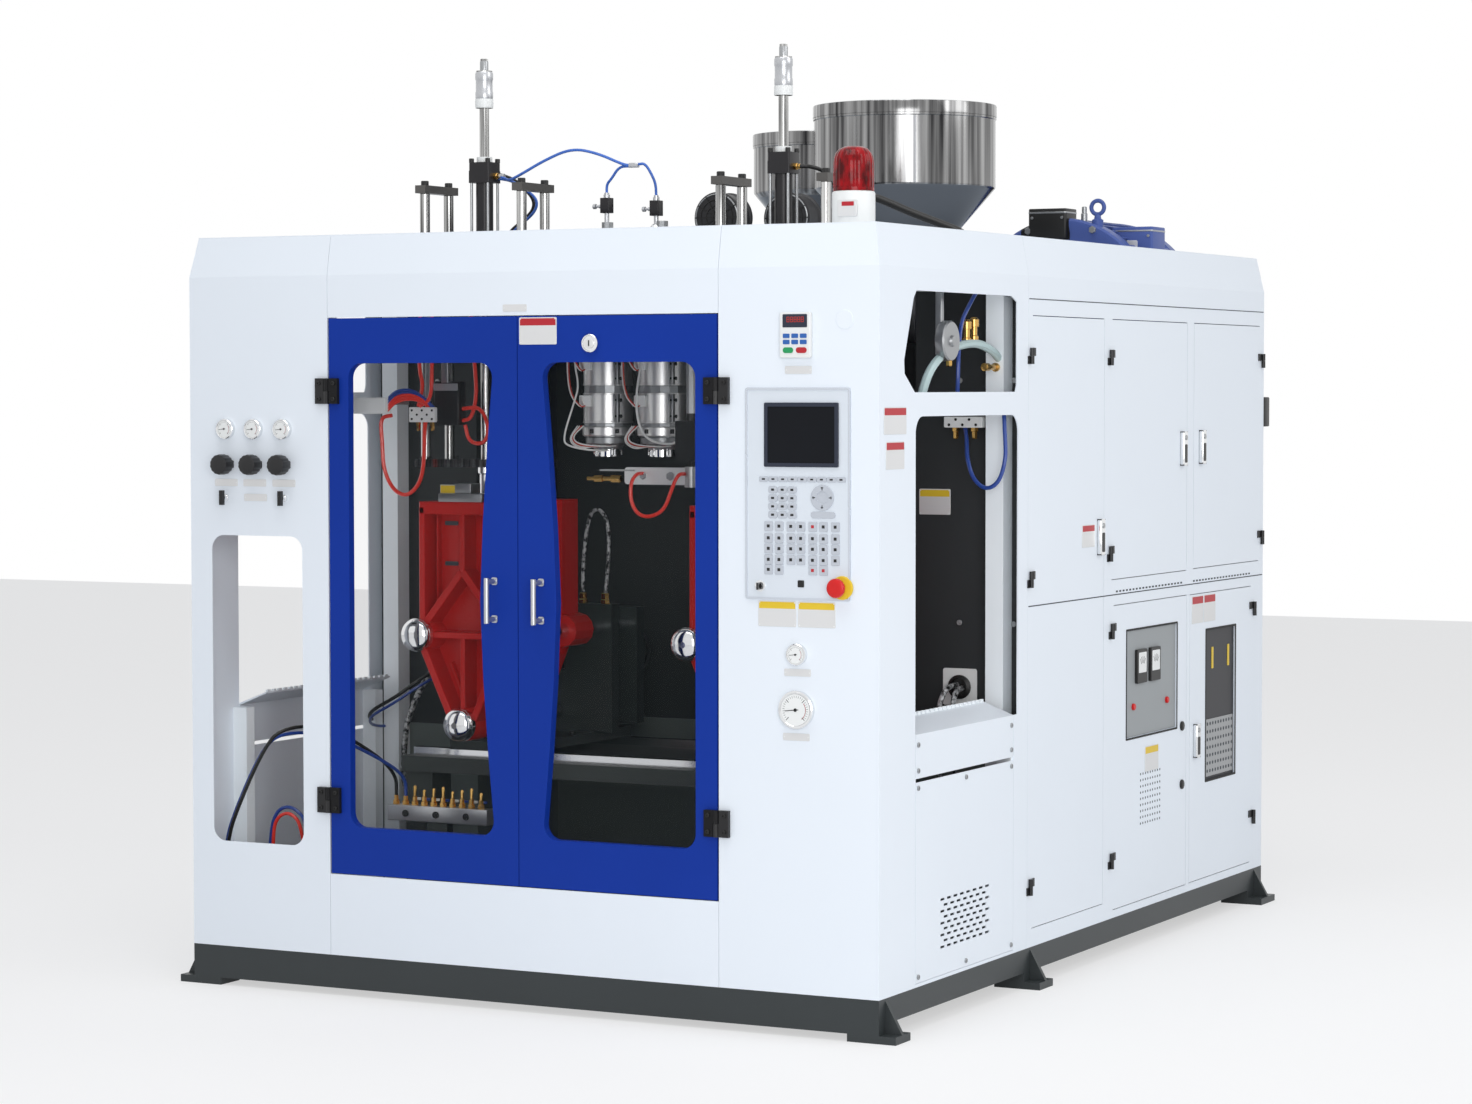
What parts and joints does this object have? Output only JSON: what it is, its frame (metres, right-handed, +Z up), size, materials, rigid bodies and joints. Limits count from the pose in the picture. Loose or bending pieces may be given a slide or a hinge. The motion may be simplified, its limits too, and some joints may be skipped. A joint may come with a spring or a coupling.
{
  "type": "extrusion blow moulding machine",
  "caption": "Double-station extrusion blow moulding machine in a pale enclosure with blue windowed doors, red clamps and roof hoppers.",
  "frame": {"origin": "middle of the bounding box on the floor under the machine", "axes": "+X to the right as seen from the front doors, +Y from the front doors to the rear cabinet, +Z up"},
  "size_m": [1.969, 2.667, 2.317],
  "materials": {
    "dark_base": "satin dark grey-green enamel",
    "bright_steel": "ground and chromed bars",
    "pale_enamel": "fine textured powder coat",
    "dark_wall": "satin enamel",
    "blue_enamel": "fine textured powder coat",
    "clear_pane": "clear sheet",
    "black_metal": "semi-gloss black",
    "silver_face": "brushed, clear coated",
    "key_plastic": "membrane keys",
    "white_plastic": "moulded",
    "red_plastic": "moulded",
    "black_plastic": "moulded",
    "cast_red": "enamel over castings",
    "grey_steel": "machined steel",
    "black_case": "anodised black",
    "valve_alloy": "machined",
    "hose_blue": "braided hose",
    "polished_steel": "polished stainless sheet",
    "motor_blue": "enamel",
    "red_lens": "tinted lens"
  },
  "bodies": {
    "machine_body": {"air_hoses": "hose_blue", "air_manifold": "valve_alloy", "barrel_fans": "black_plastic", "base_frame": "dark_base", "beacon_base": "white_plastic", "beacon_dome": "red_lens", "carriage_rails": "bright_steel", "control_face": "silver_face", "die_heads": "grey_steel", "drive_keypad": "white_plastic", "drive_motor": "motor_blue", "extruder_barrels": "grey_steel", "gauges": "black_plastic", "header_panel": "pale_enamel", "hinge_leaves": "black_metal", "hopper_lids": "polished_steel", "hoppers": "polished_steel", "inner_frame": "pale_enamel", "left_blow_cylinder": "black_case", "left_front_panel": "pale_enamel", "lower_front_panel": "pale_enamel", "outlet_sills": "pale_enamel", "panel_keys": "key_plastic", "rear_cabinet": "pale_enamel", "rear_partition": "dark_wall", "right_blow_cylinder": "black_case", "right_front_panel": "pale_enamel", "roof_deck": "pale_enamel", "top_valves": "black_case", "vent_panels": "pale_enamel"},
    "left_door_body": {"left_door": "blue_enamel", "left_pane": "clear_pane"},
    "right_door_body": {"right_door": "blue_enamel", "right_pane": "clear_pane"},
    "cabinet_door_a_body": {"cabinet_door_a": "pale_enamel"},
    "cabinet_door_b_body": {"cabinet_door_b": "pale_enamel"},
    "cabinet_door_c_body": {"cabinet_door_c": "pale_enamel"},
    "cabinet_door_d_body": {"cabinet_door_d": "pale_enamel"},
    "cabinet_door_e_body": {"cabinet_door_e": "pale_enamel"},
    "left_carriage_body": {"left_carriage": "grey_steel"},
    "right_carriage_body": {"right_carriage": "grey_steel"},
    "left_clamp_body": {"left_front_platen": "cast_red", "left_tie_bars": "bright_steel", "left_clamp_cylinder": "grey_steel"},
    "right_clamp_body": {"right_front_platen": "cast_red", "right_tie_bars": "bright_steel", "right_clamp_cylinder": "grey_steel"},
    "left_platen_body": {"left_moving_platen": "cast_red"},
    "right_platen_body": {"right_moving_platen": "cast_red"},
    "left_blow_body": {"left_blow_unit": "bright_steel"},
    "right_blow_body": {"right_blow_unit": "bright_steel"},
    "cutter_body": {"cutter_arm": "grey_steel"},
    "estop_body": {"estop_button": "red_plastic"},
    "key_body": {"key_switch": "black_metal"},
    "knob_body_1": {"regulator_knob_1": "black_plastic"},
    "knob_body_2": {"regulator_knob_2": "black_plastic"},
    "knob_body_3": {"regulator_knob_3": "black_plastic"},
    "cock_body_1": {"air_cock_1": "black_metal"},
    "cock_body_2": {"air_cock_2": "black_metal"}
  },
  "joints": [
    {"name": "left_door_hinge", "type": "hinge", "parent": "machine_body", "child": "left_door_body", "pos_m": [-0.533, -1.2915, 0.975], "axis": [0, 0, -1], "range_deg": [0, 110]},
    {"name": "right_door_hinge", "type": "hinge", "parent": "machine_body", "child": "right_door_body", "pos_m": [0.533, -1.2915, 0.975], "axis": [0, 0, 1], "range_deg": [0, 110]},
    {"name": "cabinet_door_a_hinge", "type": "hinge", "parent": "machine_body", "child": "cabinet_door_a_body", "pos_m": [0.9485, -0.4105, 0.9], "axis": [0, 0, -1], "range_deg": [0, 110]},
    {"name": "cabinet_door_b_hinge", "type": "hinge", "parent": "machine_body", "child": "cabinet_door_b_body", "pos_m": [0.9485, 0.1225, 1.32], "axis": [0, 0, -1], "range_deg": [0, 110]},
    {"name": "cabinet_door_c_hinge", "type": "hinge", "parent": "machine_body", "child": "cabinet_door_c_body", "pos_m": [0.9485, 1.3135, 1.32], "axis": [0, 0, 1], "range_deg": [0, 110]},
    {"name": "cabinet_door_d_hinge", "type": "hinge", "parent": "machine_body", "child": "cabinet_door_d_body", "pos_m": [0.9485, 0.1365, 0.52], "axis": [0, 0, -1], "range_deg": [0, 110]},
    {"name": "cabinet_door_e_hinge", "type": "hinge", "parent": "machine_body", "child": "cabinet_door_e_body", "pos_m": [0.9485, 1.2495, 0.52], "axis": [0, 0, 1], "range_deg": [0, 110]},
    {"name": "left_carriage_slide", "type": "slide", "parent": "machine_body", "child": "left_carriage_body", "axis": [1, 0, 0], "range_m": [-0.039, 0.386]},
    {"name": "right_carriage_slide", "type": "slide", "parent": "machine_body", "child": "right_carriage_body", "axis": [1, 0, 0], "range_m": [-0.386, 0.039]},
    {"name": "left_clamp_slide", "type": "slide", "parent": "left_carriage_body", "child": "left_clamp_body", "axis": [0, -1, 0], "range_m": [0, 0.08]},
    {"name": "left_platen_slide", "type": "slide", "parent": "left_carriage_body", "child": "left_platen_body", "axis": [0, 1, 0], "range_m": [0, 0.08]},
    {"name": "left_blow_slide", "type": "slide", "parent": "machine_body", "child": "left_blow_body", "axis": [0, 0, 1], "range_m": [-0.12, 0]},
    {"name": "right_clamp_slide", "type": "slide", "parent": "right_carriage_body", "child": "right_clamp_body", "axis": [0, -1, 0], "range_m": [0, 0.08]},
    {"name": "right_platen_slide", "type": "slide", "parent": "right_carriage_body", "child": "right_platen_body", "axis": [0, 1, 0], "range_m": [0, 0.08]},
    {"name": "right_blow_slide", "type": "slide", "parent": "machine_body", "child": "right_blow_body", "axis": [0, 0, 1], "range_m": [-0.12, 0]},
    {"name": "cutter_swing", "type": "hinge", "parent": "machine_body", "child": "cutter_body", "pos_m": [0.24, -0.8585, 1.265], "axis": [0, 0, -1], "range_deg": [0, 35]},
    {"name": "estop_push", "type": "slide", "parent": "machine_body", "child": "estop_body", "axis": [0, 1, 0], "range_m": [0, 0.004], "stiffness_N_per_m": 1500},
    {"name": "key_turn", "type": "hinge", "parent": "machine_body", "child": "key_body", "pos_m": [0.645, -1.2835, 1.03], "axis": [0, 1, 0], "range_deg": [0, 90]},
    {"name": "regulator_turn_1", "type": "hinge", "parent": "machine_body", "child": "knob_body_1", "pos_m": [-0.826, -1.3135, 1.295], "axis": [0, 1, 0], "range_deg": [-150, 150]},
    {"name": "regulator_turn_2", "type": "hinge", "parent": "machine_body", "child": "knob_body_2", "pos_m": [-0.742, -1.3135, 1.295], "axis": [0, 1, 0], "range_deg": [-150, 150]},
    {"name": "regulator_turn_3", "type": "hinge", "parent": "machine_body", "child": "knob_body_3", "pos_m": [-0.658, -1.3135, 1.295], "axis": [0, 1, 0], "range_deg": [-150, 150]},
    {"name": "air_cock_turn_1", "type": "hinge", "parent": "machine_body", "child": "cock_body_1", "pos_m": [-0.836, -1.2935, 1.213], "axis": [0, 1, 0], "range_deg": [0, 90]},
    {"name": "air_cock_turn_2", "type": "hinge", "parent": "machine_body", "child": "cock_body_2", "pos_m": [-0.663, -1.2935, 1.213], "axis": [0, 1, 0], "range_deg": [0, 90]}
  ],
  "couplings": [
    {"joint": "left_platen_slide", "follows": "left_clamp_slide", "ratio": 1},
    {"joint": "right_platen_slide", "follows": "right_clamp_slide", "ratio": 1}
  ]
}
